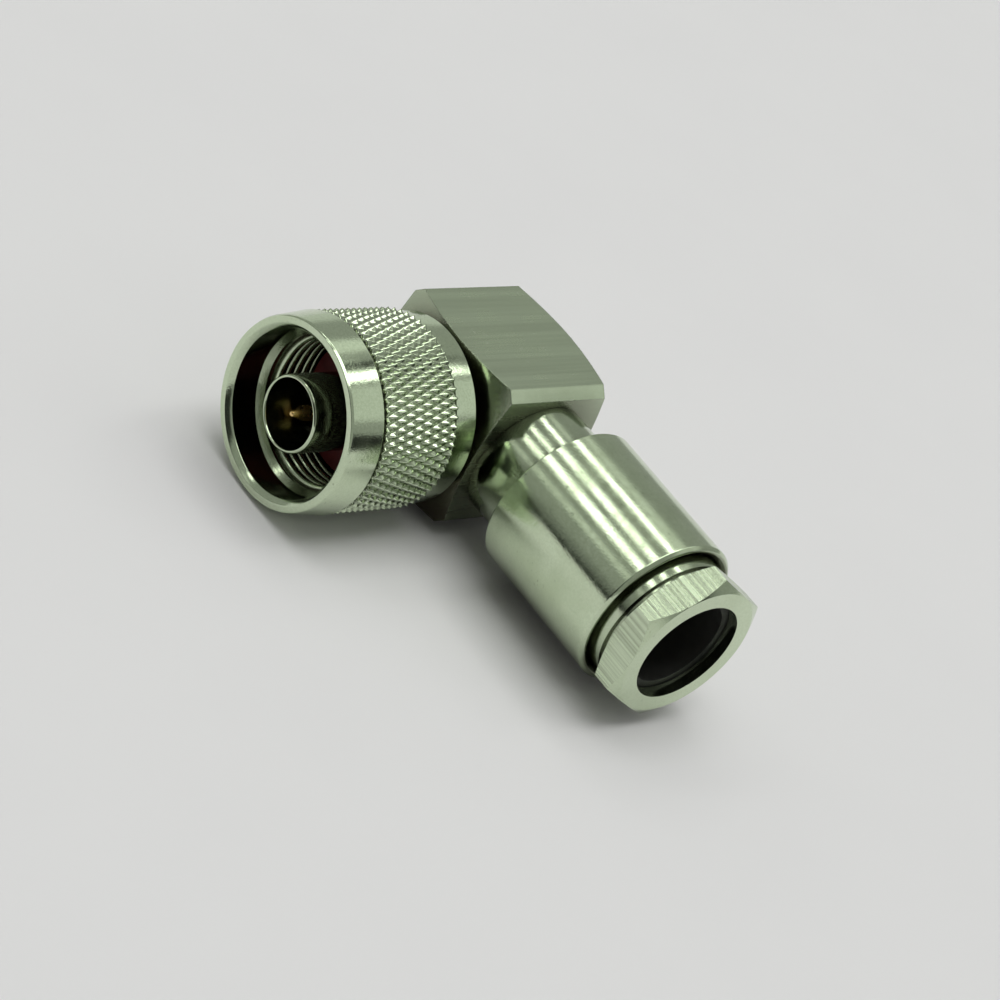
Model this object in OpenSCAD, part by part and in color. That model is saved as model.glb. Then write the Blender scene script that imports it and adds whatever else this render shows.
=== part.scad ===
// Right-angle type N plug for thick coaxial cable, with a knurled coupling nut
// and a cable clamp with a hexagonal nut.
// The origin lies on the mating reference plane, at the centre of the outer
// contact's tip. The mating axis is Y (the mouth opens towards -Y), the cable
// axis is X (the cable leaves towards +X), and +Z is square to both.

/* [Contacts] */
// Outer diameter of the outer contact tube
tube_d = 8.0; // [7.8:0.05:8.2]
// Bore of the outer contact tube
tube_bore_d = 7.2; // [7.0:0.05:7.3]
// Depth of the sealing seat behind the reference plane
seat_depth = 10.2; // [9.8:0.1:10.6]
// Diameter of the centre pin's tip
pin_d = 1.64; // [1.6:0.01:1.7]
// Diameter of the centre pin's body
pin_body_d = 3.04; // [2.9:0.02:3.2]
// How far the pin's tip lies behind the reference plane
pin_recess = 0.3; // [0.1:0.05:0.8]
// Depth of the step from the pin's tip to its body
pin_step = 5.3; // [5.1:0.05:5.5]
// Length of the pin's pointed nose
pin_nose = 1.6; // [1.0:0.1:2.0]

/* [Coupling nut] */
// Diameter over the crests of the knurl
nut_d = 20.7; // [20.4:0.1:22]
// How far the nut's face stands in front of the reference plane
nut_overhang = 0.5; // [0.2:0.1:1.0]
// Length of the nut
nut_l = 17.3; // [17.1:0.1:17.6]
// Diameter of the smooth mouth in front of the thread
mouth_d = 17.2; // [17:0.1:17.6]
// Depth of the smooth mouth
mouth_l = 3.6; // [3:0.1:4]
// Major diameter of the coupling thread
thread_d = 15.9; // [15.8:0.05:16]
// Length of the front band
front_band_l = 3.9; // [3.5:0.1:4.5]
// How much the front band tapers towards the face, on the radius
front_band_taper = 0.4; // [0.1:0.05:0.5]
// Diameter of the rear band
rear_band_d = 19.8; // [19.4:0.1:20]
// Length of the rear band
rear_band_l = 3.05; // [2.5:0.05:3.5]

/* [Knurl] */
// Number of diamonds round the nut
knurl_teeth = 66; // [48:2:80]
// Number of half diamonds along the nut
knurl_rows = 8; // [6:2:12]
// Depth of the knurl
knurl_depth = 0.42; // [0.25:0.01:0.45]

/* [Elbow] */
// Distance from the reference plane to the cable axis
elbow_y = 26.4; // [26.2:0.1:27.5]
// How far the barrel stands proud of the block's sides
block_step = 0.15; // [0.05:0.05:0.5]
// Chamfer along the bar's four long edges
block_edge = 1.05; // [0.6:0.05:1.5]
// Distance from the cable axis to the block's front face
block_front = 8.4; // [8.2:0.1:8.6]
// Distance from the cable axis to the block's back face
block_back = 8.15; // [8:0.05:9]
// Angle of the turned cone on both ends of the block
block_cone_angle = 20; // [12:1:30]
// Diameter of the round boss that carries the coupling nut
boss_d = 14.0; // [13.8:0.05:14.2]
// Diameter of the access cap
cap_d = 10.9; // [10.2:0.1:12]
// Thickness of the access cap
cap_t = 1.6; // [1.2:0.1:2]

/* [Cable barrel] */
// Diameter of the neck
neck_d = 14.2; // [13.6:0.1:15]
// Length of the neck
neck_l = 6.25; // [5.5:0.05:7]
// Wall of the barrel outside the clamp thread
barrel_wall = 1.2; // [1.05:0.05:1.6]
// Length of the barrel
barrel_l = 17.25; // [16.5:0.05:18.5]
// Major diameter of the clamp thread
clamp_thread_d = 15.9; // [15.8:0.05:16]

/* [Cable clamp] */
// How much wider the clamp nut's flats are than its thread
hex_margin = 0.1; // [0:0.05:1]
// Thickness of the clamp nut's hexagon
hex_t = 3.5; // [3:0.1:4.5]
// Distance left between the barrel's end and the hexagon
clamp_gap = 1.9; // [1.8:0.1:2.5]
// Length of the clamp nut's threaded shank
shank_l = 8.0; // [7:0.1:9]
// Diameter of the clamp nut's cable entry
entry_d = 12.2; // [12:0.1:12.6]
// Diameter of the sealing sleeve's bore
cable_bore_d = 10.6; // [10.4:0.05:10.8]

/* [Quality] */
// Facets used for preview of round parts
facets = 96; // [48:8:144]

/* [Hidden] */
$fn = facets;

// Clearances
seat_gap = 0.05;     // radial gap of pieces that sit in each other
running_gap = 0.05;  // radial gap of pieces that turn in each other
face_gap = 0.1;      // gap between faces that slide past each other
cut = 1;             // how far a cutting tool runs past the solid

// Coupling nut
nut_r = nut_d / 2;
nut_y0 = -nut_overhang;
nut_y1 = nut_y0 + nut_l;
face_round = 0.3;
face_r = nut_r - front_band_taper - face_round / 2;
mouth_r = mouth_d / 2;
mouth_chamfer = 0.55;
thread_r = thread_d / 2;
thread_y0 = nut_y0 + mouth_l + (mouth_r - thread_r);
thread_l = 6.7;
relief_depth = 0.2;
relief_r = thread_r + relief_depth;
knurl_root_r = nut_r - knurl_depth;
groove_depth = 0.28;
groove_r = knurl_root_r - groove_depth;
knurl_base_t = 0.3;
knurl_inner_r = groove_r - knurl_base_t;
band_end_y = nut_y0 + front_band_l;
groove_y = band_end_y + (nut_r - groove_r);
rear_band_y = nut_y1 - rear_band_l;
rear_band_r = rear_band_d / 2;
rear_chamfer = 0.35;
knurl_front_gap = 0.05;
knurl_rear_gap = 0.15;
knurl_y0 = groove_y + knurl_front_gap;
knurl_y1 = rear_band_y - knurl_rear_gap;

// Boss, outer contact and the ring that holds the nut
boss_r = boss_d / 2;
nut_bore_r = boss_r + running_gap;
flange_t = 2.0;
flange_y1 = seat_depth + flange_t;
shoulder_gap = 0.8;
shoulder_y = flange_y1 + shoulder_gap;
ring_t = 1.0;
ring_inset = 2.55;
ring_y = nut_y1 - ring_inset;
ring_bite = 0.75;
ring_proud = 0.6;
ring_slack = 0.15;
ring_in_r = boss_r - ring_bite;
ring_out_r = boss_r + ring_proud;
ring_slot = 2.0;
boss_groove_r = ring_in_r - face_gap;
nut_groove_r = ring_out_r + ring_slack;
tube_r = tube_d / 2;
tube_bore_r = tube_bore_d / 2;
tip_bevel = 0.18;
spigot_r = 5.5;
spigot_l = 4.8;
spigot_y1 = flange_y1 + spigot_l;
bead_r = 4.5;
bead_shelf = 0.7;
bead_y = seat_depth + bead_shelf;
gasket_t = 1.5;
gasket_r = boss_r - face_gap;
gasket_bite = 0.18;
gasket_groove_r = tube_r - gasket_bite;
gasket_groove_y = seat_depth - gasket_t - face_gap;

// Pin and cable contact
pin_r = pin_d / 2;
pin_tip_r = 0.28;
pin_body_r = pin_body_d / 2;
collar_step = 0.5;
collar_r = pin_body_r + collar_step;
collar_t = 0.7;
pin_end = 1.9;
contact_nose_r = 0.8;
contact_nose_l = 1.2;
contact_gap = 0.2;
contact_x0 = pin_body_r + contact_gap;
pot_r = 1.2;
pot_l = 5.0;

// Clamp thread, barrel and the block that matches it
clamp_thread_r = clamp_thread_d / 2;
barrel_r = clamp_thread_r + barrel_wall;
block_r = barrel_r - block_step;

// Elbow block
block_y0 = elbow_y - block_front;
block_y1 = elbow_y + block_back;
cone_r = 8.0;
corner_r = block_r * sqrt(2) + cut;
cone_rise = (corner_r - cone_r) * tan(block_cone_angle);
cavity_r = 4.6;
cap_r = cap_d / 2;
cap_edge = 0.2;
socket_r = 6.0;
barrel_spigot_l = 3.4;
socket_x = block_r - barrel_spigot_l;

// Cable barrel
neck_r = neck_d / 2;
neck_x = block_r;
barrel_x0 = neck_x + neck_l;
barrel_x1 = barrel_x0 + barrel_l;
barrel_bevel = 0.35;
neck_bevel = 0.12;
clamp_seat_l = 1.75;
clamp_seat_x = barrel_x0 + clamp_seat_l;
lip_chamfer = 0.6;
insulator_inset = 0.5;
insulator_x = neck_x + insulator_inset;
contact_tail_l = 4.0;
contact_x1 = clamp_seat_x + contact_tail_l;

// Cable clamp
hex_af = clamp_thread_d + hex_margin;
hex_x0 = barrel_x1 + clamp_gap;
hex_x1 = hex_x0 + hex_t;
hex_corner_r = hex_af / 2 / cos(30);
hex_face_step = 0.05;
hex_face_r = hex_af / 2 - hex_face_step;
hex_chamfer_angle = 30;
shank_r = clamp_thread_r - running_gap;
shank_x0 = hex_x0 - shank_l;
shank_lead = 0.4;
neck_groove_depth = 0.35;
neck_groove_r = shank_r - neck_groove_depth;
neck_groove_l = 0.6;
entry_r = entry_d / 2;
entry_lip = 1.4;
entry_step = 0.8;
sleeve_bore_r = entry_r + entry_step;
sleeve_r = sleeve_bore_r - running_gap;
cable_r = cable_bore_d / 2;
sleeve_x0 = shank_x0 - face_gap;
sleeve_x1 = hex_x1 - entry_lip - face_gap;
washer_t = 1.0;
washer_gap = 0.35;
washer_r = clamp_thread_r - washer_gap;
ferrule_gap = 0.65;
ferrule_r = clamp_thread_r - ferrule_gap;
ferrule_bore_r = 3.75;
ferrule_tube_r = 4.6;
ferrule_flange_t = 2.2;
ferrule_cone = 1.7;
ferrule_l = 7.0;

nickel = "darkseagreen";
gold = "goldenrod";
ptfe = "whitesmoke";

// Turns a shape that is drawn along +Z to the mating axis, its base at y
module on_mating_axis(y = 0) {
    translate([0, y, 0]) rotate([-90, 0, 0]) children();
}

// Turns a shape that is drawn along +Z to the cable axis, its base at x
module on_cable_axis(x = 0) {
    translate([x, elbow_y, 0]) rotate([0, 90, 0]) children();
}

// A ring or tube with square ends
module tube(r_out, r_in, length) {
    difference() {
        cylinder(r = r_out, h = length);
        translate([0, 0, -cut]) cylinder(r = r_in, h = length + 2 * cut);
    }
}

// Corners of the knurl: crests and pits alternate round each row and from row to row
function knurl_corner(row, step) =
    let (a = step * 180 / knurl_teeth,
         r = (row + step) % 2 == 0 ? nut_r : knurl_root_r)
    [r * cos(a), r * sin(a), row * (knurl_y1 - knurl_y0) / knurl_rows];

// A ring of diamonds, each a low pyramid between four pits
module knurl_ring() {
    steps = 2 * knurl_teeth;
    rows = knurl_rows;
    length = knurl_y1 - knurl_y0;
    outer = [for (row = [0:rows]) for (step = [0:steps - 1]) knurl_corner(row, step)];
    inner = [for (z = [0, length]) for (step = [0:steps - 1])
        let (a = step * 180 / knurl_teeth)
        [knurl_inner_r * cos(a), knurl_inner_r * sin(a), z]];
    base = len(outer);
    diamonds = [for (row = [0:rows - 1]) for (step = [0:steps - 1])
        let (next = (step + 1) % steps,
             a = row * steps + step, b = row * steps + next,
             c = a + steps, d = b + steps)
        each (row + step) % 2 == 0 ? [[a, c, b], [b, c, d]] : [[a, d, b], [a, c, d]]];
    ends = [for (step = [0:steps - 1])
        let (next = (step + 1) % steps, top = rows * steps)
        each [[step, next, base + step],
              [next, base + next, base + step],
              [top + step, base + steps + step, top + next],
              [top + next, base + steps + step, base + steps + next]]];
    bore = [for (step = [0:steps - 1])
        let (next = (step + 1) % steps)
        each [[base + step, base + next, base + steps + step],
              [base + next, base + steps + next, base + steps + step]]];
    polyhedron(points = concat(outer, inner), faces = concat(diamonds, ends, bore));
}

// Nut with a tapered front band, a knurled grip and a plain rear band
module coupling_nut() {
    color(nickel) {
        on_mating_axis() rotate_extrude() polygon([
            [mouth_r + mouth_chamfer, nut_y0],
            [face_r, nut_y0],
            [nut_r - front_band_taper, nut_y0 + face_round],
            [nut_r, band_end_y],
            [groove_r, groove_y],
            [groove_r, rear_band_y],
            [rear_band_r, rear_band_y],
            [rear_band_r, nut_y1 - rear_chamfer],
            [rear_band_r - rear_chamfer, nut_y1],
            [nut_bore_r, nut_y1],
            [nut_bore_r, ring_y + ring_t + face_gap],
            [nut_groove_r, ring_y + ring_t + face_gap],
            [nut_groove_r, ring_y - face_gap],
            [nut_bore_r, ring_y - face_gap],
            [nut_bore_r, shoulder_y],
            [relief_r, shoulder_y],
            [relief_r, thread_y0 + thread_l],
            [thread_r, thread_y0 + thread_l],
            [thread_r, thread_y0],
            [mouth_r, nut_y0 + mouth_l],
            [mouth_r, nut_y0 + mouth_chamfer]]);
        on_mating_axis(knurl_y0) knurl_ring();
    }
}

// Split spring ring that ties the nut to the boss
module retaining_ring() {
    color("silver") difference() {
        on_mating_axis(ring_y) tube(ring_out_r, ring_in_r, ring_t);
        translate([-ring_out_r - cut, ring_y - cut, -ring_slot / 2])
            cube([ring_out_r + cut, ring_t + 2 * cut, ring_slot]);
    }
}

// Flat seal in the groove at the root of the outer contact
module mating_gasket() {
    color("firebrick") on_mating_axis(seat_depth - gasket_t)
        tube(gasket_r, gasket_groove_r + seat_gap, gasket_t);
}

// Tube with a flange and a spigot that is pressed into the boss
module outer_contact() {
    color(nickel) on_mating_axis() rotate_extrude() polygon([
        [tube_bore_r + tip_bevel / 2, 0],
        [tube_r - tip_bevel, 0],
        [tube_r, tip_bevel],
        [tube_r, gasket_groove_y],
        [gasket_groove_r, gasket_groove_y],
        [gasket_groove_r, seat_depth],
        [boss_r, seat_depth],
        [boss_r, flange_y1],
        [spigot_r, flange_y1],
        [spigot_r, spigot_y1],
        [bead_r, spigot_y1],
        [bead_r, bead_y],
        [tube_bore_r, bead_y],
        [tube_bore_r, tip_bevel]]);
}

// Bead that centres the pin in the outer contact
module front_insulator() {
    color(ptfe) on_mating_axis(bead_y)
        tube(bead_r - seat_gap, pin_body_r + seat_gap, spigot_y1 - bead_y);
}

// Pin with a pointed nose, a stepped body and a cross hole at the elbow
module centre_pin() {
    pin_y1 = elbow_y + pin_end;
    color(gold) difference() {
        on_mating_axis() rotate_extrude() polygon([
            [0, pin_recess],
            [pin_tip_r, pin_recess + pin_tip_r / 2],
            [pin_r, pin_recess + pin_nose],
            [pin_r, pin_step],
            [pin_body_r, pin_step],
            [pin_body_r, spigot_y1],
            [collar_r, spigot_y1],
            [collar_r, spigot_y1 + collar_t],
            [pin_body_r, spigot_y1 + collar_t],
            [pin_body_r, pin_y1],
            [0, pin_y1]]);
        on_cable_axis(-pin_body_r - cut)
            cylinder(r = contact_nose_r + seat_gap, h = 2 * (pin_body_r + cut));
    }
}

// Outline of the bar that the elbow is cut from, with chamfered long edges
module bar_outline() {
    flat = block_r - block_edge;
    polygon([for (s = [[1, 1], [-1, 1], [-1, -1], [1, -1]])
        each s[0] * s[1] > 0
            ? [[s[0] * block_r, s[1] * flat], [s[0] * flat, s[1] * block_r]]
            : [[s[0] * flat, s[1] * block_r], [s[0] * block_r, s[1] * flat]]]);
}

// Block with coned ends, a boss for the nut and bores that meet at a right angle
module elbow_block() {
    length = block_front + block_back;
    color(nickel) difference() {
        union() {
            intersection() {
                on_mating_axis(block_y0) linear_extrude(height = length) bar_outline();
                on_mating_axis(block_y0) rotate_extrude() polygon([
                    [0, 0],
                    [cone_r, 0],
                    [corner_r, cone_rise],
                    [corner_r, length - cone_rise],
                    [cone_r, length],
                    [0, length]]);
            }
            on_mating_axis() rotate_extrude() polygon([
                [0, flange_y1],
                [boss_r, flange_y1],
                [boss_r, ring_y - seat_gap],
                [boss_groove_r, ring_y - seat_gap],
                [boss_groove_r, ring_y + ring_t + seat_gap],
                [boss_r, ring_y + ring_t + seat_gap],
                [boss_r, block_y0 + cut],
                [0, block_y0 + cut]]);
        }
        on_mating_axis(flange_y1 - cut)
            cylinder(r = spigot_r + seat_gap, h = spigot_y1 - flange_y1 + cut);
        on_mating_axis(flange_y1) cylinder(r = cavity_r, h = block_y1 - flange_y1 + cut);
        on_mating_axis(block_y1 - cap_t)
            cylinder(r = cap_r + seat_gap, h = cap_t + cut);
        on_cable_axis(0) cylinder(r = cavity_r, h = block_r + cut);
        on_cable_axis(socket_x) cylinder(r = socket_r, h = block_r - socket_x + cut);
    }
}

// Disc pressed flush into the back of the block, over the solder joint
module access_cap() {
    color(nickel) on_mating_axis(block_y1 - cap_t) rotate_extrude() polygon([
        [0, 0],
        [cap_r, 0],
        [cap_r, cap_t - cap_edge],
        [cap_r - cap_edge, cap_t],
        [0, cap_t]]);
}

// Turned barrel with a spigot, a neck and the socket for the cable clamp
module cable_barrel() {
    color(nickel) on_cable_axis() rotate_extrude() polygon([
        [cavity_r, socket_x],
        [socket_r - seat_gap, socket_x],
        [socket_r - seat_gap, neck_x],
        [neck_r, neck_x],
        [neck_r, barrel_x0],
        [barrel_r - neck_bevel, barrel_x0],
        [barrel_r, barrel_x0 + neck_bevel],
        [barrel_r, barrel_x1 - barrel_bevel],
        [barrel_r - barrel_bevel, barrel_x1],
        [clamp_thread_r + lip_chamfer, barrel_x1],
        [clamp_thread_r, barrel_x1 - lip_chamfer],
        [clamp_thread_r, clamp_seat_x],
        [cavity_r, clamp_seat_x]]);
}

// Bead that centres the cable contact in the neck
module barrel_insulator() {
    color(ptfe) on_cable_axis(insulator_x)
        tube(cavity_r - seat_gap, pin_body_r + seat_gap, clamp_seat_x - insulator_x);
}

// Contact that joins the pin to the cable's inner conductor
module cable_contact() {
    color(gold) on_cable_axis() rotate_extrude() polygon([
        [0, -contact_nose_l],
        [contact_nose_r, -contact_nose_l],
        [contact_nose_r, contact_x0],
        [pin_body_r, contact_x0],
        [pin_body_r, clamp_seat_x],
        [collar_r, clamp_seat_x],
        [collar_r, clamp_seat_x + collar_t],
        [pin_body_r, clamp_seat_x + collar_t],
        [pin_body_r, contact_x1],
        [pot_r, contact_x1],
        [pot_r, contact_x1 - pot_l],
        [0, contact_x1 - pot_l]]);
}

// Ferrule that traps the cable's braid against the seat in the barrel
module braid_clamp() {
    color("darkkhaki") on_cable_axis(clamp_seat_x) rotate_extrude() polygon([
        [ferrule_bore_r, 0],
        [ferrule_r, 0],
        [ferrule_r, ferrule_flange_t],
        [ferrule_r - ferrule_cone, ferrule_flange_t + ferrule_cone],
        [ferrule_tube_r, ferrule_flange_t + ferrule_cone],
        [ferrule_tube_r, ferrule_l],
        [ferrule_bore_r, ferrule_l]]);
}

// Rubber sleeve inside the clamp nut
module clamp_gasket() {
    color("dimgray") on_cable_axis(sleeve_x0) tube(sleeve_r, cable_r, sleeve_x1 - sleeve_x0);
}

// Washer between the clamp nut and the braid clamp
module thrust_washer() {
    color("darkkhaki") on_cable_axis(sleeve_x0 - washer_t) tube(washer_r, cable_r, washer_t);
}

// Hexagonal nut with a threaded shank, an inner lip and the cable entry
module clamp_nut() {
    hex_rise = (hex_corner_r - hex_face_r) * tan(hex_chamfer_angle);
    color(nickel) difference() {
        union() {
            intersection() {
                on_cable_axis(hex_x0) cylinder(r = hex_corner_r, h = hex_t, $fn = 6);
                on_cable_axis(hex_x0) rotate_extrude() polygon([
                    [0, 0],
                    [hex_face_r, 0],
                    [hex_corner_r, hex_rise],
                    [hex_corner_r, hex_t - hex_rise],
                    [hex_face_r, hex_t],
                    [0, hex_t]]);
            }
            on_cable_axis() rotate_extrude() polygon([
                [0, shank_x0],
                [shank_r - shank_lead, shank_x0],
                [shank_r, shank_x0 + shank_lead],
                [shank_r, hex_x0 - neck_groove_l],
                [neck_groove_r, hex_x0 - neck_groove_l],
                [neck_groove_r, hex_x0 + cut],
                [0, hex_x0 + cut]]);
        }
        on_cable_axis(shank_x0 - cut)
            cylinder(r = sleeve_bore_r, h = hex_x1 - entry_lip - shank_x0 + cut);
        on_cable_axis(shank_x0) cylinder(r = entry_r, h = hex_x1 - shank_x0 + cut);
    }
}

coupling_nut();
retaining_ring();
mating_gasket();
outer_contact();
front_insulator();
centre_pin();
elbow_block();
access_cap();
cable_barrel();
barrel_insulator();
cable_contact();
braid_clamp();
clamp_gasket();
thrust_washer();
clamp_nut();
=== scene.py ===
"""A right-angle coaxial plug: a knurled nut on an elbow block, with a clamped cable barrel."""
import math

import bmesh
import bpy
from mathutils import Matrix, Vector


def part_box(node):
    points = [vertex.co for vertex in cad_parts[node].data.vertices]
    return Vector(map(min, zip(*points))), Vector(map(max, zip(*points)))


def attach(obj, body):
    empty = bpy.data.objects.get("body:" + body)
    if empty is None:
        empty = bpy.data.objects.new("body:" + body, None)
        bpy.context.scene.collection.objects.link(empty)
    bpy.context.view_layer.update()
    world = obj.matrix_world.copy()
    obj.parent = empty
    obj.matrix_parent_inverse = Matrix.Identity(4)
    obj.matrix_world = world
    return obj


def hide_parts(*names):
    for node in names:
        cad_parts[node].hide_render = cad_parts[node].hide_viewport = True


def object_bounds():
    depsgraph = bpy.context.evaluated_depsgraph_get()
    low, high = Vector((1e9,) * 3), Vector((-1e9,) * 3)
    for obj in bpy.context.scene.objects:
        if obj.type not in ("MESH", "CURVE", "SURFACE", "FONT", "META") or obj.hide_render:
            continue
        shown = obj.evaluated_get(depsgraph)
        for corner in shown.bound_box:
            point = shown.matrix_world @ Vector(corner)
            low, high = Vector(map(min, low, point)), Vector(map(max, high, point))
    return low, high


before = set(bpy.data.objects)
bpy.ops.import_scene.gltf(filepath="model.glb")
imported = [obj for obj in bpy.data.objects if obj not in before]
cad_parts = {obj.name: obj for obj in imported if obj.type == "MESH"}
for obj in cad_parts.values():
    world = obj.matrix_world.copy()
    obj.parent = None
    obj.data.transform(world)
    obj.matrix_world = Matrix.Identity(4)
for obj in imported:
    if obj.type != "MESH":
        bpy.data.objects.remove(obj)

cad_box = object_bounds()

MM = 0.001

# Driving sizes, millimetres: the mating axis is Y and the cable axis is X at ELBOW_Y
NUT_LOW, NUT_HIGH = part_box("coupling_nut")
BARREL_LOW, BARREL_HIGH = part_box("cable_barrel")
HEX_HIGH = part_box("clamp_nut")[1]
BLOCK_LOW, BLOCK_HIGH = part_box("elbow_block")
TUBE_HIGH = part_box("outer_contact")[1]
PIN_LOW, PIN_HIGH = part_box("centre_pin")
CAP_LOW, CAP_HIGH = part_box("access_cap")

CREST_R = NUT_HIGH.z / MM
NUT_Y0 = NUT_LOW.y / MM
NUT_Y1 = NUT_HIGH.y / MM
MOUTH_R = 8.6
BARREL_R = BARREL_HIGH.z / MM
BARREL_X0 = 15.25
BARREL_X1 = BARREL_HIGH.x / MM
ELBOW_Y = (BARREL_LOW.y + BARREL_HIGH.y) / 2 / MM
HEX_X1 = HEX_HIGH.x / MM
HEX_T = 3.5
HEX_X0 = HEX_X1 - HEX_T
HEX_CORNER_R = HEX_HIGH.z / MM
HEX_FLAT_R = HEX_CORNER_R * math.cos(math.radians(30))
BLOCK_Y1 = BLOCK_HIGH.y / MM
BLOCK_AHEAD = 8.4          # from the cable axis to the block's front
BLOCK_Y0 = ELBOW_Y - BLOCK_AHEAD
BLOCK_R = -BLOCK_LOW.x / MM
TUBE_R = 4.0
SPIGOT_Y = TUBE_HIGH.y / MM
BOSS_R = 7.0
SEAT_Y = 10.2              # where the seal sits on the flange of the tube
FLANGE_T = 2.0
BEAD_R = 4.6               # bore that holds the insulating beads
PIN_BODY_R = 1.52

# Threads of the mouth and of the clamp, 24 to the inch
THREAD_R = 7.95
THREAD_PITCH = 25.4 / 24
THREAD_DEPTH = 0.56
CREST_HALF = 0.08          # half the flat on a thread's crest
THREAD_GAP = 0.03          # left between two turns at the root
ROOT_OVERLAP = 0.05        # how far a thread's foot stands in its wall

# How finely round parts are turned
ROUND = 192
FINE_ROUND = 256
SMALL_ROUND = 128
BORE_ROUND = 96
HELIX_STEPS = 96
KEEP_SHARP = math.radians(24)


# ---------------------------------------------------------------- mesh helpers

def along_y(y, r):
    """A point of a profile turned about the mating axis."""
    return Vector((r, y, 0)) * MM


def along_x(x, r):
    """A point of a profile turned about the cable axis."""
    return Vector((x, ELBOW_Y + r, 0)) * MM


AXES = {
    "mating": (along_y, Vector((0, 0, 0)), Vector((0, 1, 0))),
    "cable": (along_x, Vector((0, ELBOW_Y * MM, 0)), Vector((1, 0, 0))),
}


def object_from(bm, name):
    """Closes a bmesh into a smooth shaded object at the origin."""
    bmesh.ops.recalc_face_normals(bm, faces=bm.faces)
    mesh = bpy.data.meshes.new(name)
    bm.to_mesh(mesh)
    bm.free()
    mesh.shade_smooth()
    obj = bpy.data.objects.new(name, mesh)
    bpy.context.scene.collection.objects.link(obj)
    return obj


def turned(name, profile, axis, closed=True, steps=ROUND):
    """Turns a chain of (along, radius) corners into a full ring."""
    place, centre, direction = AXES[axis]
    bm = bmesh.new()
    corners = [bm.verts.new(place(a, r)) for a, r in profile]
    for first, second in zip(corners, corners[1:]):
        bm.edges.new((first, second))
    if closed:
        bm.edges.new((corners[-1], corners[0]))
    bmesh.ops.spin(bm, geom=bm.verts[:] + bm.edges[:], cent=centre, axis=direction,
                   angle=2 * math.pi, steps=steps, use_merge=True, dvec=(0, 0, 0),
                   use_normal_flip=False, use_duplicate=False)
    bmesh.ops.remove_doubles(bm, verts=bm.verts, dist=0.0005 * MM)
    return object_from(bm, name)


def break_edges(obj, width):
    """Small rounds on the sharp edges, with flats that stay flat in the shading."""
    bevel = obj.modifiers.new("edge_break", "BEVEL")
    bevel.width = width * MM
    bevel.segments = 2
    bevel.limit_method = "ANGLE"
    bevel.angle_limit = KEEP_SHARP
    bevel.harden_normals = False
    bevel.use_clamp_overlap = True
    weighted = obj.modifiers.new("flat_faces", "WEIGHTED_NORMAL")
    weighted.mode = "FACE_AREA"
    weighted.weight = 60
    weighted.keep_sharp = True
    return obj


def cut(target, tool, operation="DIFFERENCE"):
    """One solid cut by, kept inside, or joined to another; the tool is used up."""
    modifier = target.modifiers.new("cut", "BOOLEAN")
    modifier.operation = operation
    modifier.solver = "EXACT"
    modifier.object = tool
    bpy.context.view_layer.update()
    shape = target.evaluated_get(bpy.context.evaluated_depsgraph_get())
    mesh = bpy.data.meshes.new_from_object(shape)
    target.modifiers.clear()
    target.data = mesh
    bpy.data.objects.remove(tool)
    mesh.shade_smooth()
    return target


def thread_ridge(start, root_r, crest_r):
    """The corners of one turn of a thread, with a thin flat crest."""
    middle = start + THREAD_PITCH / 2
    return [
        (start, root_r),
        (middle - CREST_HALF, crest_r),
        (middle + CREST_HALF, crest_r),
        (start + THREAD_PITCH - THREAD_GAP, root_r),
    ]


def helix(name, profile, axis, turns):
    """A thread's ridge: a closed chain of corners, spun and moved on by the pitch."""
    place, centre, direction = AXES[axis]
    bm = bmesh.new()
    corners = [bm.verts.new(place(a, r)) for a, r in profile]
    for first, second in zip(corners, corners[1:] + corners[:1]):
        bm.edges.new((first, second))
    bmesh.ops.spin(bm, geom=bm.verts[:] + bm.edges[:], cent=centre, axis=direction,
                   angle=2 * math.pi * turns, steps=int(HELIX_STEPS * turns), use_merge=False,
                   dvec=direction * (THREAD_PITCH * MM / HELIX_STEPS),
                   use_normal_flip=False, use_duplicate=False)
    bmesh.ops.holes_fill(bm, edges=[e for e in bm.edges if e.is_boundary], sides=0)
    return object_from(bm, name)


def crisp(obj, angle):
    """Keeps corners over an angle sharp and everything else smooth."""
    obj.data.set_sharp_from_angle(angle=math.radians(angle))


# ---------------------------------------------------------------- material helpers

# Rays of the ambient occlusion and bevel nodes, few because each look takes many
NODE_SAMPLES = 2


def new_material(name):
    """A node material, its tree, its shader, and the coordinates that its marks lie in."""
    material = bpy.data.materials.new(name)
    material.use_nodes = True
    tree = material.node_tree
    shader = tree.nodes["Principled BSDF"]
    coords = tree.nodes.new("ShaderNodeTexCoord")
    return material, tree, shader, coords.outputs["Object"]


def stretched(tree, source, scale):
    """The coordinates stretched along the axes, for marks that run one way."""
    node = tree.nodes.new("ShaderNodeMapping")
    tree.links.new(source, node.inputs["Vector"])
    node.inputs["Scale"].default_value = scale
    return node.outputs["Vector"]


def noise(tree, vector, scale, detail, roughness):
    """Cloudy noise from 0 to 1; scale is in cells a metre."""
    node = tree.nodes.new("ShaderNodeTexNoise")
    node.inputs["Scale"].default_value = scale
    node.inputs["Detail"].default_value = detail
    node.inputs["Roughness"].default_value = roughness
    tree.links.new(vector, node.inputs["Vector"])
    return node.outputs["Fac"]


def spread(tree, value, low, high, to_low, to_high, smooth=False):
    """Spreads the range from low to high over another range, and holds its ends."""
    node = tree.nodes.new("ShaderNodeMapRange")
    if smooth:
        node.interpolation_type = "SMOOTHSTEP"
    for key, number in (("From Min", low), ("From Max", high),
                        ("To Min", to_low), ("To Max", to_high)):
        node.inputs[key].default_value = number
    tree.links.new(value, node.inputs["Value"])
    return node.outputs["Result"]


def spots(tree, marks, clouds, low, high, cloud_low, cloud_high):
    """Specks of one noise, only where another is high."""
    return maths(tree, "MULTIPLY", spread(tree, marks, low, high, 0, 1),
                 spread(tree, clouds, cloud_low, cloud_high, 0, 1))


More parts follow.
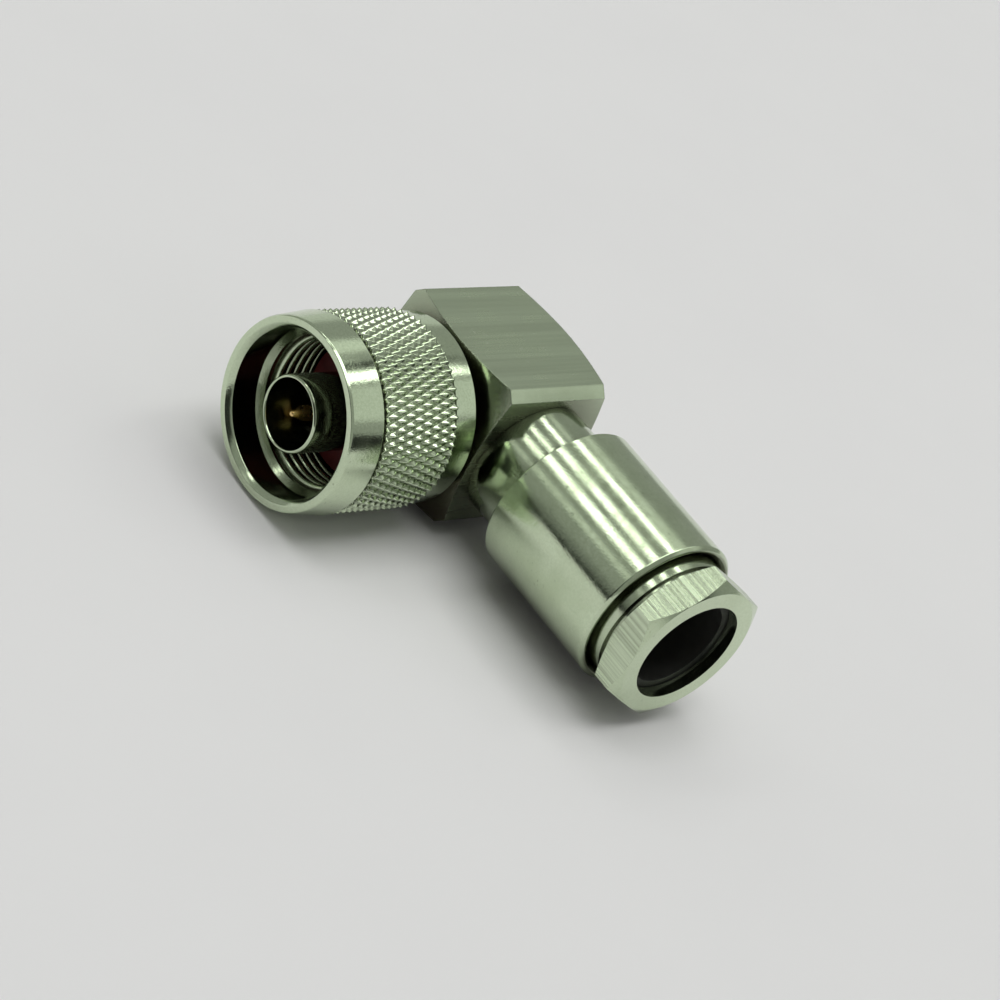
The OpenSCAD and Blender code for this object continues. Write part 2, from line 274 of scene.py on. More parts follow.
def maths(tree, operation, first, second=None):
    """One operation on values that are numbers or other nodes' outputs."""
    node = tree.nodes.new("ShaderNodeMath")
    node.operation = operation
    for socket, value in zip(node.inputs, (first, second)):
        if value is None:
            continue
        if isinstance(value, (int, float)):
            socket.default_value = value
        else:
            tree.links.new(value, socket)
    return node.outputs[0]


def blend_colours(tree, factor, first, second):
    """From the first colour to the second, each a tuple or another node's output."""
    node = tree.nodes.new("ShaderNodeMix")
    node.data_type = "RGBA"
    node.clamp_factor = True
    tree.links.new(factor, node.inputs[0])
    for socket, colour in ((node.inputs[6], first), (node.inputs[7], second)):
        if isinstance(colour, tuple):
            socket.default_value = (*colour, 1)
        else:
            tree.links.new(colour, socket)
    return node.outputs[2]


def bump(tree, height, strength, distance, shader, edge=0.0):
    """Relief in the surface; edge, in millimetres, also rounds the look of the corners."""
    node = tree.nodes.new("ShaderNodeBump")
    if edge:
        soft = tree.nodes.new("ShaderNodeBevel")
        soft.samples = NODE_SAMPLES
        soft.inputs["Radius"].default_value = edge * MM
        tree.links.new(soft.outputs["Normal"], node.inputs["Normal"])
    node.inputs["Strength"].default_value = strength
    node.inputs["Distance"].default_value = distance * MM
    tree.links.new(height, node.inputs["Height"])
    tree.links.new(node.outputs["Normal"], shader.inputs["Normal"])


# ---------------------------------------------------------------- materials

NICKEL = (0.65, 0.75, 0.55)
NICKEL_WORN = (0.50, 0.59, 0.40)
# Dark brownish tone: the grime in the low milling lines, and the painted shade in the recesses
GRIME_AND_SHADE = (0.055, 0.047, 0.032)
STAIN = (0.16, 0.19, 0.12)
BRIGHT_PIT = (0.85, 0.9, 0.75)
PLATE_BUMP = 0.02          # millimetres


def paint_shade_into_recesses(tree, tone, reach, low, high, local=False):
    """Painted shade: a dark brownish tone in the recesses, deeper the less open each point is to its
    surroundings.
    """
    open_sky = tree.nodes.new("ShaderNodeAmbientOcclusion")
    open_sky.samples = NODE_SAMPLES
    open_sky.only_local = local
    open_sky.inputs["Distance"].default_value = reach * MM
    recess_shade = spread(tree, open_sky.outputs["AO"], low, high, 1, 0)
    return blend_colours(tree, recess_shade, tone, GRIME_AND_SHADE)


def grain_of(tree, place):
    """The fine orange peel of a plated surface."""
    return noise(tree, place, 4200.0, 3.0, 0.6)


def worn_plate(tree, clouds, wear):
    """Nickel that turns duller in soft clouds."""
    return blend_colours(tree, spread(tree, clouds, 0.35, 0.7, 0, wear), NICKEL, NICKEL_WORN)


def finish_nickel(tree, shader, tone, recess_shade, marks, clouds, rough):
    """Metal with painted shade in its recesses; rough is that of low marks, of high marks, and of
    clouds.
    """
    smooth, matt, cloudy = rough
    tree.links.new(paint_shade_into_recesses(tree, tone, *recess_shade), shader.inputs["Base Color"])
    shader.inputs["Metallic"].default_value = 1.0
    gloss = maths(tree, "ADD", spread(tree, marks, 0.3, 0.7, smooth, matt),
                  spread(tree, clouds, 0.4, 0.7, 0, cloudy))
    tree.links.new(gloss, shader.inputs["Roughness"])


def turned_nickel(name, axis, line=0.22, rough=0.09, edge=0.0, recess_shade=(3.0, 0.15, 0.6), wear=0.35):
    """Nickel plate over turned brass: fine rings, soft wear, a few dull specks, and painted shade in
    the recesses.
    """
    material, tree, shader, place = new_material(name)
    squeeze = (20, 900, 20) if axis == "mating" else (900, 20, 20)
    rings = noise(tree, stretched(tree, place, squeeze), 1.0, 3.0, 0.6)
    clouds = noise(tree, place, 170.0, 5.0, 0.6)
    specks = noise(tree, place, 2300.0, 2.0, 0.5)
    worn = spots(tree, specks, clouds, 0.66, 0.74, 0.5, 0.68)
    peel = grain_of(tree, place)
    tone = worn_plate(tree, clouds, wear)
    tone = blend_colours(tree, spread(tree, peel, 0.4, 0.62, 0, 0.4), tone, NICKEL_WORN)
    tone = blend_colours(tree, maths(tree, "MULTIPLY", worn, 0.75), tone, STAIN)
    finish_nickel(tree, shader, tone, recess_shade, rings, clouds, (rough - 0.03, rough + 0.05, 0.06))
    relief = maths(tree, "ADD", rings, maths(tree, "MULTIPLY", worn, -0.6))
    relief = maths(tree, "ADD", relief, maths(tree, "MULTIPLY", peel, 1.8))
    bump(tree, relief, line, PLATE_BUMP, shader, edge)
    return material


def milled_nickel(name, stretch, line, rough, edge, recess_shade=(3.0, 0.2, 0.6), depth=0.03, shade=0.1):
    """Nickel on a face that was milled or drawn: fine straight lines along one way, and painted shade
    in the recesses.
    """
    material, tree, shader, place = new_material(name)
    lines = noise(tree, stretched(tree, place, stretch), 1.0, 4.0, 0.65)
    clouds = noise(tree, place, 150.0, 5.0, 0.6)
    pits = noise(tree, place, 1500.0, 2.0, 0.5)
    worn = spots(tree, pits, clouds, 0.66, 0.72, 0.5, 0.7)
    tone = worn_plate(tree, clouds, 0.4)
    tone = blend_colours(tree, spread(tree, lines, 0.35, 0.6, shade, 0), tone, GRIME_AND_SHADE)
    tone = blend_colours(tree, maths(tree, "MULTIPLY", worn, 0.5), tone, BRIGHT_PIT)
    finish_nickel(tree, shader, tone, recess_shade, lines, clouds, (rough - 0.04, rough + 0.08, 0.08))
    relief = maths(tree, "ADD", lines, maths(tree, "MULTIPLY", worn, 0.3))
    relief = maths(tree, "ADD", relief, maths(tree, "MULTIPLY", grain_of(tree, place), 0.5))
    bump(tree, relief, line, depth, shader, edge)
    return material


def clouded(name, colour, second, scale, detail, rough, strength, depth):
    """Two tones of one colour in soft clouds, which also give the gloss and the relief."""
    material, tree, shader, place = new_material(name)
    clouds = noise(tree, place, scale, detail, 0.6)
    tone = blend_colours(tree, spread(tree, clouds, 0.3, 0.7, 0, 1), colour, second)
    tree.links.new(tone, shader.inputs["Base Color"])
    tree.links.new(spread(tree, clouds, 0.3, 0.7, *rough), shader.inputs["Roughness"])
    bump(tree, clouds, strength, depth, shader)
    return material, shader


def plated_metal(name, colour, worn, rough):
    """A small turned part in gold plate, brass or spring steel."""
    material, shader = clouded(name, colour, worn, 400.0, 5.0, (rough - 0.05, rough + 0.1),
                               0.1, PLATE_BUMP)
    shader.inputs["Metallic"].default_value = 1.0
    return material


def soft_material(name, colour, deep, rough):
    """Moulded rubber, silicone or PTFE with a faint grain."""
    return clouded(name, colour, deep, 900.0, 4.0, (rough - 0.06, rough + 0.06), 0.2, 0.03)[0]


def second_material(obj, material, chosen):
    """Gives a second finish to the faces that a test picks."""
    obj.data.materials.append(material)
    for face in obj.data.polygons:
        if chosen(face):
            face.material_index = 1


def dress(obj, material, body=None):
    """Gives a piece its one finish, and a new piece the body that it goes with."""
    obj.data.materials.clear()
    obj.data.materials.append(material)
    if body:
        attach(obj, body)
    return obj


# ---------------------------------------------------------------- coupling nut

KNURL_DEPTH = 0.42
KNURL_TEETH = 66
KNURL_ROWS = 8
KNURL_STEPS = 16
KNURL_ROOT_R = CREST_R - KNURL_DEPTH
GROOVE_R = KNURL_ROOT_R - 0.28
BAND_END_Y = NUT_Y0 + 3.9
GROOVE_Y = BAND_END_Y + CREST_R - GROOVE_R
REAR_BAND_Y = NUT_Y1 - 3.05
REAR_BAND_R = 9.9
KNURL_Y0 = GROOVE_Y + 0.05
KNURL_Y1 = REAR_BAND_Y - 0.15
KNURL_INNER_R = GROOVE_R - 0.1


def nut_shell():
    """Front band, groove under the knurl, rear band, and the bore with its retaining groove."""
    lead = 0.55
    lip_r, lip_drop, lip_depth = 9.8, 0.4, 0.3
    thread_y, run_in = NUT_Y0 + 3.6, 0.65
    relief_y0, relief_y1, relief_r = 10.45, 13.0, 8.15
    ring_y0, ring_y1, ring_r = 14.15, 15.35, 7.75
    chamfer = 0.35
    hub_r = BOSS_R + 0.05
    return turned("nut_shell", [
        (NUT_Y0, MOUTH_R + lead),
        (NUT_Y0, lip_r),
        (NUT_Y0 + lip_depth, CREST_R - lip_drop),
        (BAND_END_Y, CREST_R),
        (GROOVE_Y, GROOVE_R),
        (REAR_BAND_Y, GROOVE_R),
        (REAR_BAND_Y, REAR_BAND_R),
        (NUT_Y1 - chamfer, REAR_BAND_R),
        (NUT_Y1, REAR_BAND_R - chamfer),
        (NUT_Y1, hub_r),
        (ring_y1, hub_r),
        (ring_y1, ring_r),
        (ring_y0, ring_r),
        (ring_y0, hub_r),
        (relief_y1, hub_r),
        (relief_y1, relief_r),
        (relief_y0, relief_r),
        (relief_y0, THREAD_R),
        (thread_y + run_in, THREAD_R),
        (thread_y, MOUTH_R),
        (NUT_Y0 + lead, MOUTH_R),
    ], "mating")


def nut_thread():
    """The internal thread of the mouth."""
    start = 3.85
    turns = 5.2
    profile = thread_ridge(start, THREAD_R + ROOT_OVERLAP, THREAD_R - THREAD_DEPTH)
    return helix("nut_thread", profile, "mating", turns)


def knurl_height(u, v):
    """Height of a pressed diamond, 0 in the grooves and 1 on the point, by its two helices."""
    across = 1 - abs(2 * (u - math.floor(u)) - 1)
    other = 1 - abs(2 * (v - math.floor(v)) - 1)
    return 0.5 * min(across, other) + 0.5 * across * other


def nut_knurl():
    """A sleeve of diamonds between the two bands, wrapped from a flat grid."""
    around = KNURL_TEETH * KNURL_STEPS
    rows = KNURL_ROWS * KNURL_STEPS // 2
    bm = bmesh.new()
    bmesh.ops.create_grid(bm, x_segments=around, y_segments=rows, size=0.5)
    for vert in bm.verts:
        turn = vert.co.x + 0.5
        share = vert.co.y + 0.5
        a = turn * KNURL_TEETH
        b = share * KNURL_ROWS / 2
        r = KNURL_ROOT_R + KNURL_DEPTH * knurl_height(a + b, a - b)
        angle = turn * 2 * math.pi
        y = KNURL_Y0 + share * (KNURL_Y1 - KNURL_Y0)
        vert.co = Vector((r * math.cos(angle), y, r * math.sin(angle))) * MM
    bmesh.ops.remove_doubles(bm, verts=bm.verts, dist=0.002 * MM)
    rims = [e for e in bm.edges if e.is_boundary]
    made = bmesh.ops.extrude_edge_only(bm, edges=rims)
    for vert in [g for g in made["geom"] if isinstance(g, bmesh.types.BMVert)]:
        r = math.hypot(vert.co.x, vert.co.z)
        vert.co.x *= KNURL_INNER_R * MM / r
        vert.co.z *= KNURL_INNER_R * MM / r
    inner = [e for e in bm.edges if e.is_boundary]
    bmesh.ops.bridge_loops(bm, edges=inner)
    return object_from(bm, "nut_knurl")


def build_nut(nickel, knurled, mouth, threaded):
    """Shell, mouth thread and knurl, which turn together."""
    shell = break_edges(nut_shell(), 0.05)
    dress(shell, nickel, "coupling")

    def mouth_wall(face):
        out = math.hypot(face.center.x, face.center.z)
        on_wall = abs(out - MOUTH_R * MM) < 0.1 * MM and abs(face.normal.y) < 0.1
        return on_wall and face.center.y < 4 * MM

    # The wall of the mouth takes the mouth's finish, whose painted shade is darker and reaches
    # further
    second_material(shell, mouth, mouth_wall)
    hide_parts("coupling_nut")
    dress(nut_thread(), threaded, "coupling")
    dress(nut_knurl(), knurled, "coupling")


# ---------------------------------------------------------------- contacts

def outer_tube():
    """The mating tube with its flange and spigot."""
    bite_r = TUBE_R - 0.18
    bite_y = 8.6
    bore_r = 3.6
    bead_r = 4.5
    spigot_r = 5.5
    tip = 0.18
    floor_y = SEAT_Y + 0.7
    return turned("outer_tube", [
        (0, bore_r + tip / 2),
        (0, TUBE_R - tip),
        (tip, TUBE_R),
        (bite_y, TUBE_R),
        (bite_y, bite_r),
        (SEAT_Y, bite_r),
        (SEAT_Y, BOSS_R),
        (SEAT_Y + FLANGE_T, BOSS_R),
        (SEAT_Y + FLANGE_T, spigot_r),
        (SPIGOT_Y, spigot_r),
        (SPIGOT_Y, bead_r),
        (floor_y, bead_r),
        (floor_y, bore_r),
        (tip, bore_r),
    ], "mating", steps=SMALL_ROUND)


def mating_pin():
    """The gold pin with its pointed nose, and the wider body with its collar and cross hole."""
    tip_y = PIN_LOW.y / MM
    end_y = PIN_HIGH.y / MM
    pin_r = 0.82
    step_y = 5.3
    collar_r, collar_end = 2.02, 17.7
    hole_r, hole_reach = 0.85, 3
    obj = turned("mating_pin", [
        (tip_y, 0.0),
        (tip_y + 0.04, 0.16),
        (tip_y + 0.14, 0.28),
        (tip_y + 1.6, pin_r),
        (step_y, pin_r),
        (step_y, PIN_BODY_R),
        (SPIGOT_Y, PIN_BODY_R),
        (SPIGOT_Y, collar_r),
        (collar_end, collar_r),
        (collar_end, PIN_BODY_R),
        (end_y, PIN_BODY_R),
        (end_y, 0.0),
    ], "mating", closed=False, steps=64)
    hole = turned("hole", [
        (-hole_reach, 0),
        (-hole_reach, hole_r),
        (hole_reach, hole_r),
        (hole_reach, 0),
    ], "cable", closed=False, steps=32)
    return cut(obj, hole)


# ---------------------------------------------------------------- elbow

def block_bar():
    """The square bar with its four long edges chamfered."""
    edge = 1.05
    bm = bmesh.new()
    bmesh.ops.create_cube(bm, size=1.0)
    length = BLOCK_Y1 - BLOCK_Y0
    bmesh.ops.scale(bm, vec=Vector((2 * BLOCK_R, length, 2 * BLOCK_R)) * MM, verts=bm.verts)
    bmesh.ops.translate(bm, vec=Vector((0, BLOCK_Y0 + length / 2, 0)) * MM, verts=bm.verts)
    long_edges = [e for e in bm.edges if abs(e.verts[0].co.y - e.verts[1].co.y) > MM]
    bmesh.ops.bevel(bm, geom=long_edges, offset=edge * MM, offset_type="OFFSET", segments=1,
                    profile=0.5, affect="EDGES", material=-1, clamp_overlap=False)
    return object_from(bm, "elbow")


def elbow_cones():
    """The envelope that cones both ends of the bar."""
    cone_r = 8.0
    corner_r = 13.0
    rise = (corner_r - cone_r) * math.tan(math.radians(20))
    return turned("cones", [
        (BLOCK_Y0, 0),
        (BLOCK_Y0, cone_r),
        (BLOCK_Y0 + rise, corner_r),
        (BLOCK_Y1 - rise, corner_r),
        (BLOCK_Y1, cone_r),
        (BLOCK_Y1, 0),
    ], "mating", closed=False, steps=FINE_ROUND)


def elbow_boss():
    """The round boss that carries the nut, with the groove of the retaining ring."""
    front_y = 12.2
    groove_y0, groove_y1, groove_r = 14.2, 15.3, 6.15
    inside_y = BLOCK_Y0 + 1
    return turned("boss", [
        (front_y, 0),
        (front_y, BOSS_R),
        (groove_y0, BOSS_R),
        (groove_y0, groove_r),
        (groove_y1, groove_r),
        (groove_y1, BOSS_R),
        (inside_y, BOSS_R),
        (inside_y, 0),
    ], "mating", closed=False)


def elbow_bore():
    """The way of the pin: seat of the tube's spigot, bore, and seat of the cap."""
    outside = 1
    seat_r = 5.55
    cap_seat_y, cap_seat_r = BLOCK_Y1 - 1.6, 5.5
    return turned("bore", [
        (11, 0),
        (11, seat_r),
        (SPIGOT_Y, seat_r),
        (SPIGOT_Y, BEAD_R),
        (cap_seat_y, BEAD_R),
        (cap_seat_y, cap_seat_r),
        (BLOCK_Y1 + outside, cap_seat_r),
        (BLOCK_Y1 + outside, 0),
    ], "mating", closed=False, steps=BORE_ROUND)


def elbow_socket():
    """The way of the cable's contact, and the seat of the barrel's spigot."""
    seat_x, seat_r = 5.5, 6.0
    reach = 10
    return turned("socket", [
        (0, 0),
        (0, BEAD_R),
        (seat_x, BEAD_R),
        (seat_x, seat_r),
        (reach, seat_r),
        (reach, 0),
    ], "cable", closed=False, steps=BORE_ROUND)


def build_elbow(nickel, turned_finish):
    """Bar and turned cones, with the boss for the nut and the bores inside."""
    elbow = block_bar()
    cut(elbow, elbow_cones(), "INTERSECT")
    cut(elbow, elbow_boss(), "UNION")
    cut(elbow, elbow_bore())
    cut(elbow, elbow_socket())
    crisp(elbow, 12)
    dress(elbow, nickel, "body")
    second_material(elbow, turned_finish, lambda face: abs(face.normal.y) > 0.2)
    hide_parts("elbow_block")


def build_cap(nickel):
    """The disc in the back of the block, over the solder joint."""
    edge = 0.2
    r = CAP_HIGH.x / MM
    y0 = CAP_LOW.y / MM
    y1 = CAP_HIGH.y / MM
    cap = turned("cap", [(y0, 0), (y0, r), (y1 - edge, r), (y1, r - edge), (y1, 0)],
                 "mating", closed=False, steps=SMALL_ROUND)
    break_edges(cap, 0.04)
    dress(cap, nickel, "body")
    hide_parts("access_cap")


# ---------------------------------------------------------------- cable barrel and clamp

def build_barrel(nickel):
    """Spigot, neck and barrel in one piece, with the wall of the clamp's thread inside."""
    neck_r = 7.1
    neck_x = 9.0
    spigot_r = 5.95
    seat_x = 17.0
    spigot_x = BARREL_LOW.x / MM
    front_chamfer, rear_chamfer, thread_lead = 0.12, 0.35, 0.6
    barrel = turned("barrel", [
        (spigot_x, BEAD_R),
        (spigot_x, spigot_r),
        (neck_x, spigot_r),
        (neck_x, neck_r),
        (BARREL_X0, neck_r),
        (BARREL_X0, BARREL_R - front_chamfer),
        (BARREL_X0 + front_chamfer, BARREL_R),
        (BARREL_X1 - rear_chamfer, BARREL_R),
        (BARREL_X1, BARREL_R - rear_chamfer),
        (BARREL_X1, THREAD_R + thread_lead),
        (BARREL_X1 - thread_lead, THREAD_R),
        (seat_x, THREAD_R),
        (seat_x, BEAD_R),
    ], "cable")
    break_edges(barrel, 0.06)
    dress(barrel, nickel, "body")
    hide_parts("cable_barrel")


def hexagon():
    """Six flats with 30 degree turned chamfers on both ends."""
    face_r = HEX_FLAT_R - 0.05
    rise = (HEX_CORNER_R - face_r) * math.tan(math.radians(30))
    bm = bmesh.new()
    bmesh.ops.create_cone(bm, cap_ends=True, cap_tris=False, segments=6, radius1=HEX_CORNER_R * MM,
                          radius2=HEX_CORNER_R * MM, depth=HEX_T * MM)
    low = min(bm.verts, key=lambda v: abs(v.co.x))
    start = math.atan2(low.co.y, low.co.x)
    upright = Matrix.Rotation(-start, 3, "Z")
    along = Matrix.Rotation(math.radians(90), 3, "Y")
    bmesh.ops.rotate(bm, verts=bm.verts, cent=(0, 0, 0), matrix=upright)
    bmesh.ops.rotate(bm, verts=bm.verts, cent=(0, 0, 0), matrix=along)
    bmesh.ops.translate(bm, verts=bm.verts, vec=Vector((HEX_X0 + HEX_T / 2, ELBOW_Y, 0)) * MM)
    prism = object_from(bm, "clamp_hex")
    cones = turned("cones", [
        (HEX_X0, 0),
        (HEX_X0, face_r),
        (HEX_X0 + rise, HEX_CORNER_R),
        (HEX_X1 - rise, HEX_CORNER_R),
        (HEX_X1, face_r),
        (HEX_X1, 0),
    ], "cable", closed=False, steps=FINE_ROUND)
    return cut(prism, cones, "INTERSECT")


SHANK_R = THREAD_R - 0.05
SHANK_X = HEX_X0 - 8.0
SHANK_CORE_R = SHANK_R - 0.55


def clamp_shank():
    """The core of the threaded shank, its plain end and the undercut behind the hexagon."""
    plain_x = HEX_X0 - 2.4
    undercut_x, undercut_r = HEX_X0 - 0.6, SHANK_R - 0.35
    inside_x = HEX_X0 + 1
    return turned("shank", [
        (SHANK_X, 0),
        (SHANK_X, SHANK_CORE_R),
        (plain_x - 0.5, SHANK_CORE_R),
        (plain_x, SHANK_R),
        (undercut_x, SHANK_R),
        (undercut_x, undercut_r),
        (inside_x, undercut_r),
        (inside_x, 0),
    ], "cable", closed=False)


def clamp_bore():
    """The bore that holds the rubber sleeve, and the cable entry in the lip."""
    outside = 1
    sleeve_r = 6.9
    lip_x, entry_r = HEX_X1 - 1.4, 6.1
    return turned("bore", [
        (SHANK_X - outside, 0),
        (SHANK_X - outside, sleeve_r),
        (lip_x, sleeve_r),
        (lip_x, entry_r),
        (HEX_X1 + outside, entry_r),
        (HEX_X1 + outside, 0),
    ], "cable", closed=False)


def build_clamp_nut(milled, nickel):
    """The hexagon with its shank, the thread on it, and milled flats."""
    thread_turns = 4.2
    nut = hexagon()
    cut(nut, clamp_shank(), "UNION")
    cut(nut, clamp_bore())
    crisp(nut, 20)
    dress(nut, nickel, "clamp")
    ridge = thread_ridge(SHANK_X, SHANK_CORE_R - ROOT_OVERLAP, SHANK_R)
    dress(helix("shank_thread", ridge, "cable", thread_turns), nickel, "clamp")

    def flat(face):
        out = math.hypot(face.center.y - ELBOW_Y * MM, face.center.z)
        return abs(face.normal.x) < 0.1 and face.center.x > HEX_X0 * MM and out > 7.4 * MM

    second_material(nut, milled, flat)
    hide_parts("clamp_nut")


# ---------------------------------------------------------------- light, floor and camera

VIEW_AZIMUTH = math.radians(35.16)
VIEW_ELEVATION = math.radians(30.70)
VIEW_ROLL = math.radians(30.74)
VIEW_TARGET = Vector((21.2, 8.9, 6.9))
VIEW_DISTANCE = 340.0
LENS = 126
SENSOR = 36
NEAREST = 0.01             # metres
FLOOR_TONE = (0.806, 0.78, 0.816)
FLOOR_FAINT = (0.795, 0.769, 0.806)
FLOOR_RADIUS = 2.5         # metres


def view_axes():
    """Right, up and back of the camera, set once from the view's angles."""
    level_reach = math.cos(VIEW_ELEVATION)
    back = Vector((math.sin(VIEW_AZIMUTH) * level_reach, -math.cos(VIEW_AZIMUTH) * level_reach,
                   math.sin(VIEW_ELEVATION)))
    level = Vector((0, 0, 1)).cross(back).normalized()
    upright = back.cross(level)
    right = level * math.cos(VIEW_ROLL) + upright * math.sin(VIEW_ROLL)
    return right, back.cross(right), back


def build_camera():
    """A long lens that looks down on the mouth of the nut and the clamp."""
    right, up, back = view_axes()
    data = bpy.data.cameras.new("camera")
    data.lens = LENS
    data.sensor_width = SENSOR
    data.clip_start = NEAREST
    camera = bpy.data.objects.new("camera", data)
    bpy.context.scene.collection.objects.link(camera)
    place = Matrix((right, up, back)).transposed().to_4x4()
    place.translation = (VIEW_TARGET + back * VIEW_DISTANCE) * MM
    camera.matrix_world = place
    bpy.context.scene.camera = camera


def build_floor():
    """A wide plain floor under the lowest point of the object."""
    bm = bmesh.new()
    bmesh.ops.create_circle(bm, cap_ends=True, segments=96, radius=FLOOR_RADIUS)
    bmesh.ops.translate(bm, verts=bm.verts, vec=(0, 0, cad_box[0].z))
    floor = object_from(bm, "floor")
    material, tree, shader, place = new_material("pale_floor")
    faint = spread(tree, noise(tree, place, 40.0, 2.0, 0.55), 0.3, 0.7, 0, 1)
    tone = blend_colours(tree, faint, FLOOR_TONE, FLOOR_FAINT)
    tree.links.new(tone, shader.inputs["Base Color"])
    shader.inputs["Roughness"].default_value = 0.9
    shader.inputs["Specular IOR Level"].default_value = 0.1
    floor.data.materials.append(material)


def panel_group():
    """A soft-edged light panel in the room: 1 inside, falling to 0 over its edge."""
    group = bpy.data.node_groups.new("soft_panel", "ShaderNodeTree")
    face = group.interface
    for kind, names in (("NodeSocketVector", ("Direction", "Right", "Up", "Facing")),
                        ("NodeSocketFloat", ("Width", "Height", "Edge", "Strength"))):
        for name in names:
            face.new_socket(name, in_out="INPUT", socket_type=kind)
    face.new_socket("Light", in_out="OUTPUT", socket_type="NodeSocketFloat")
    start = group.nodes.new("NodeGroupInput").outputs
    end = group.nodes.new("NodeGroupOutput")

    def dot(name):
        node = group.nodes.new("ShaderNodeVectorMath")
        node.operation = "DOT_PRODUCT"
        group.links.new(start["Direction"], node.inputs[0])
        group.links.new(start[name], node.inputs[1])
        return node.outputs["Value"]

    facing = maths(group, "MAXIMUM", dot("Facing"), 0.0001)
    parts = []
    for name, size in (("Right", "Width"), ("Up", "Height")):
        reach = maths(group, "ABSOLUTE", maths(group, "DIVIDE", dot(name), facing))
        past = maths(group, "DIVIDE", maths(group, "SUBTRACT", reach, start[size]), start["Edge"])
        parts.append(spread(group, past, 0, 1, 1, 0, smooth=True))
    inside = maths(group, "MULTIPLY", parts[0], parts[1])
    inside = maths(group, "MULTIPLY", inside, maths(group, "GREATER_THAN", dot("Facing"), 0.05))
    group.links.new(maths(group, "MULTIPLY", inside, start["Strength"]), end.inputs["Light"])
    return group


# The soft studio, in degrees: the turn and lift of a panel's middle from the view's line, its
# width, its height and the softness of its edge, and then its brightness over the room's
PANELS = {
    "overhead": (40, 46, 46, 34, 4, 2.65),
    "first_strip": (82, 74, 3.2, 26, 1.5, 3.6),
    "second_strip": (2, 71.5, 10, 2.6, 1.2, 3.6),
    "broad_strip": (-28, 58, 8, 5.5, 2, 2.7),
    "thin_strip": (-44, 43, 12, 3, 2.5, 0.45),
    "side_strip": (79, 33, 26, 5, 3, 2.6),
    "side_fill": (82, 8, 24, 26, 7, 0.3),
    "back_fill": (168, 10, 30, 16, 8, 0.68),
    "rear_fill": (178, 37, 24, 20, 7, 0.25),
    "crown_fill": (106, 61, 9, 12, 5, 0.42),
}
# Dark places in the room, which take light away in the same way
FLAGS = {
    "side_flag": (86, -32, 30, 18, 4, 0.36),
    "gap_flag": (85, 43, 26, 3, 1.5, 0.45),
    "left_flag": (-62, 17, 20, 12, 8, 0.13),
    "back_flag": (-170, -18, 60, 22, 8, 0.3),
    "front_flag": (-38, -8, 74, 48, 10, 0.32),
}
ROOM_LIGHT = 0.33
DARKEST = 0.03
LIGHT_TINT = (0.965, 1.0, 0.94)


def toward(turn, lift):
    """A direction in the room, from its turn and lift off the view's line in degrees."""
    right, up, back = view_axes()
    turn, lift = math.radians(turn), math.radians(lift)
    return (right * math.sin(turn) + back * math.cos(turn)) * math.cos(lift) + up * math.sin(lift)


def room_panel(tree, group, direction, turn, lift, width, height, edge, strength):
    """One panel of the room, as the light that it adds in each direction."""
    facing = toward(turn, lift)
    side = facing.cross(toward(turn, lift + 1)).normalized()
    rise = facing.cross(side).normalized()
    node = tree.nodes.new("ShaderNodeGroup")
    node.node_tree = group
    tree.links.new(direction, node.inputs["Direction"])
    for key, value in (("Right", side), ("Up", rise), ("Facing", facing),
                       ("Width", math.tan(math.radians(width / 2))),
                       ("Height", math.tan(math.radians(height / 2))),
                       ("Edge", math.radians(edge)), ("Strength", strength)):
        node.inputs[key].default_value = value
    return node.outputs["Light"]


def build_world():
    """The room's level light with its panels added and its flags taken away."""
    world = bpy.data.worlds.new("studio")
    bpy.context.scene.world = world
    world.use_nodes = True
    tree = world.node_tree
    direction = tree.nodes.new("ShaderNodeTexCoord").outputs["Generated"]
    group = panel_group()
    total = None
    for values in PANELS.values():
        light = room_panel(tree, group, direction, *values)
        total = light if total is None else maths(tree, "ADD", total, light)
    total = maths(tree, "ADD", total, ROOM_LIGHT)
    for values in FLAGS.values():
        less = maths(tree, "SUBTRACT", total, room_panel(tree, group, direction, *values))
        total = maths(tree, "MAXIMUM", less, DARKEST)
    background = tree.nodes["Background"]
    tree.links.new(total, background.inputs["Strength"])
    background.inputs["Color"].default_value = (*LIGHT_TINT, 1)


# ---------------------------------------------------------------- assembly

def build_inner_parts():
    """Small parts that keep their solids, in their own finishes. Gives the gold of the pin."""
    gold = plated_metal("gold_plate", (0.85, 0.62, 0.28), (0.72, 0.5, 0.2), 0.22)
    brass = plated_metal("brass", (0.72, 0.6, 0.34), (0.6, 0.48, 0.26), 0.3)
    spring = plated_metal("spring_steel", (0.5, 0.52, 0.5), (0.4, 0.42, 0.4), 0.3)
    silicone = soft_material("red_silicone", (0.17, 0.014, 0.013), (0.12, 0.01, 0.01), 0.5)
    rubber = soft_material("black_rubber", (0.014, 0.014, 0.012), (0.022, 0.022, 0.02), 0.55)
    ptfe = soft_material("ptfe", (0.82, 0.82, 0.79), (0.76, 0.76, 0.73), 0.4)
    finishes = {
        "retaining_ring": spring,
        "mating_gasket": silicone,
        "front_insulator": ptfe,
        "barrel_insulator": ptfe,
        "cable_contact": gold,
        "braid_clamp": brass,
        "clamp_gasket": rubber,
        "thrust_washer": brass,
    }
    for name, material in finishes.items():
        dress(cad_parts[name], material)
    return gold


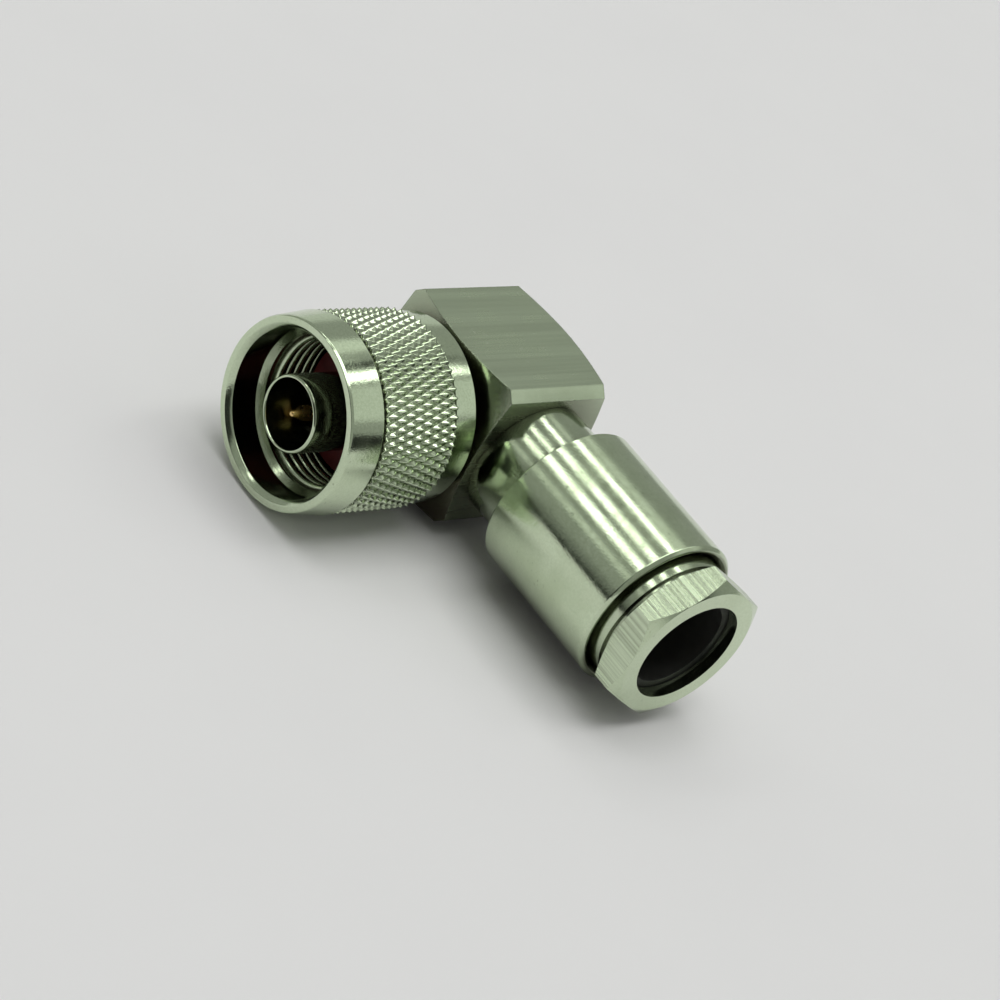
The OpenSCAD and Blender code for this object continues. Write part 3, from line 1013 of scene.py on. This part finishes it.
def build_contacts(gold):
    """The tube and the pin of the mating end."""
    # Painted shade darkens the inside of the tube
    tube_nickel = turned_nickel("nickel_tube", "mating", line=0.1, rough=0.12,
                                recess_shade=(9.0, 0.05, 0.75))
    tube = break_edges(outer_tube(), 0.05)
    dress(tube, tube_nickel, "body")
    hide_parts("outer_contact")
    pin = break_edges(mating_pin(), 0.03)
    dress(pin, gold, "body")
    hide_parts("centre_pin")


def main():
    """Stage, finishes and pieces."""
    bpy.context.scene.view_settings.view_transform = "Standard"
    build_camera()
    build_floor()
    build_world()
    # the painted shade in the recesses: reach in millimetres, the openness where it is full and where
    # it ends, and whether only the piece itself shades its recesses
    nut_nickel = turned_nickel("nickel_turned_nut", "mating", recess_shade=(20.0, 0.15, 0.7, True))
    knurl_nickel = turned_nickel("nickel_knurl", "mating", line=0.03, rough=0.1,
                                 recess_shade=(0.6, 0.35, 0.8))
    mouth_nickel = turned_nickel("nickel_mouth", "mating", line=0.1, rough=0.12,
                                 recess_shade=(30.0, 0.25, 0.95))
    thread_nickel = turned_nickel("nickel_thread", "mating", line=0.1, rough=0.14,
                                  recess_shade=(0.9, 0.5, 0.95))
    barrel_nickel = turned_nickel("nickel_turned_barrel", "cable", recess_shade=(4.0, 0.35, 0.85), wear=0.8)
    block_nickel = milled_nickel("nickel_block", (900, 12, 900), line=0.08, rough=0.19, edge=0.2,
                                 recess_shade=(7.0, 0.4, 0.85))
    cone_nickel = turned_nickel("nickel_block_cones", "mating", line=0.15, rough=0.14, edge=0.2,
                                recess_shade=(14.0, 0.6, 1.0))
    hex_milled = milled_nickel("nickel_hex_flats", (6, 3300, 3300), line=1.0, rough=0.2, edge=0.05,
                               depth=0.04, shade=0.4)
    hex_turned = turned_nickel("nickel_hex_turned", "cable", line=0.12, rough=0.12, edge=0.05,
                               recess_shade=(3.0, 0.3, 0.7), wear=0.6)
    build_nut(nut_nickel, knurl_nickel, mouth_nickel, thread_nickel)
    build_contacts(build_inner_parts())
    build_elbow(block_nickel, cone_nickel)
    build_cap(nut_nickel)
    build_barrel(barrel_nickel)
    build_clamp_nut(hex_milled, hex_turned)


main()
